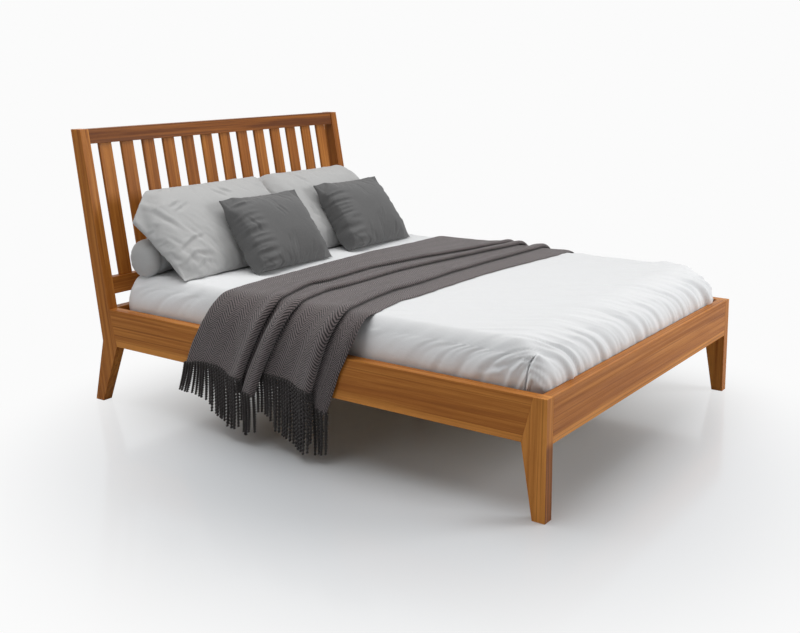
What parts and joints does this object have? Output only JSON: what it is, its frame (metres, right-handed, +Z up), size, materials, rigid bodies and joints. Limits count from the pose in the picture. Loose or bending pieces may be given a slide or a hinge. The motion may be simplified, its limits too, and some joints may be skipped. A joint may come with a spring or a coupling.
{
  "type": "wooden double bed",
  "caption": "Wooden double bed with a raked slatted headboard, tapered board legs, slatted base, mattress and layered bedding with a fringed throw.",
  "frame": {"origin": "on the floor, below the middle of the bed's outline", "axes": "+X to the right for someone lying on their back, +Y from the foot towards the headboard, +Z up"},
  "size_m": [1.802, 2.282, 1.168],
  "materials": {
    "oiled_wood": "solid warm brown hardwood with straight streaky grain, satin oil",
    "pale_wood": "plain planed softwood, unfinished",
    "zinc_steel": "zinc-plated steel",
    "foot_plastic": "black moulded plastic",
    "webbing": "woven tape",
    "ticking": "closely woven mattress cover",
    "white_cotton": "plain white cotton",
    "grey_cotton": "light grey washed cotton",
    "charcoal_linen": "charcoal linen weave",
    "taupe_wool": "dark taupe herringbone wool with a twisted fringe"
  },
  "bodies": {
    "bed": {"base_slat_01": "pale_wood", "base_slat_02": "pale_wood", "base_slat_03": "pale_wood", "base_slat_04": "pale_wood", "base_slat_05": "pale_wood", "base_slat_06": "pale_wood", "base_slat_07": "pale_wood", "base_slat_08": "pale_wood", "base_slat_09": "pale_wood", "base_slat_10": "pale_wood", "base_slat_11": "pale_wood", "base_slat_12": "pale_wood", "base_slat_13": "pale_wood", "beam_hanger_foot": "zinc_steel", "beam_hanger_head": "zinc_steel", "bolster": "grey_cotton", "center_beam": "pale_wood", "center_leg": "oiled_wood", "center_leg_insert": "zinc_steel", "corner_bolts": "zinc_steel", "corner_bracket_foot_left": "zinc_steel", "corner_bracket_foot_right": "zinc_steel", "corner_bracket_head_left": "zinc_steel", "corner_bracket_head_right": "zinc_steel", "cushion_left": "charcoal_linen", "cushion_right": "charcoal_linen", "fitted_sheet": "white_cotton", "foot_leg_left": "oiled_wood", "foot_leg_right": "oiled_wood", "foot_rail": "oiled_wood", "head_cross_rail": "oiled_wood", "headboard_lower_rail": "oiled_wood", "headboard_post_left": "oiled_wood", "headboard_post_right": "oiled_wood", "headboard_slat_01": "oiled_wood", "headboard_slat_02": "oiled_wood", "headboard_slat_03": "oiled_wood", "headboard_slat_04": "oiled_wood", "headboard_slat_05": "oiled_wood", "headboard_slat_06": "oiled_wood", "headboard_slat_07": "oiled_wood", "headboard_slat_08": "oiled_wood", "headboard_slat_09": "oiled_wood", "headboard_slat_10": "oiled_wood", "headboard_slat_11": "oiled_wood", "headboard_slat_12": "oiled_wood", "headboard_slat_13": "oiled_wood", "headboard_top_rail": "oiled_wood", "joint_dowels": "pale_wood", "mattress": "ticking", "pillow_left": "grey_cotton", "pillow_right": "grey_cotton", "side_rail_left": "oiled_wood", "side_rail_right": "oiled_wood", "slat_ledge_left": "pale_wood", "slat_ledge_right": "pale_wood", "slat_webbing": "webbing", "throw_blanket": "taupe_wool", "throw_fringe": "taupe_wool"},
    "screw_foot": {"center_leg_foot": "foot_plastic"}
  },
  "joints": [
    {"name": "foot_screw", "type": "slide", "parent": "bed", "child": "screw_foot", "axis": [0, 0, 1], "range_m": [0, 0.01]}
  ]
}
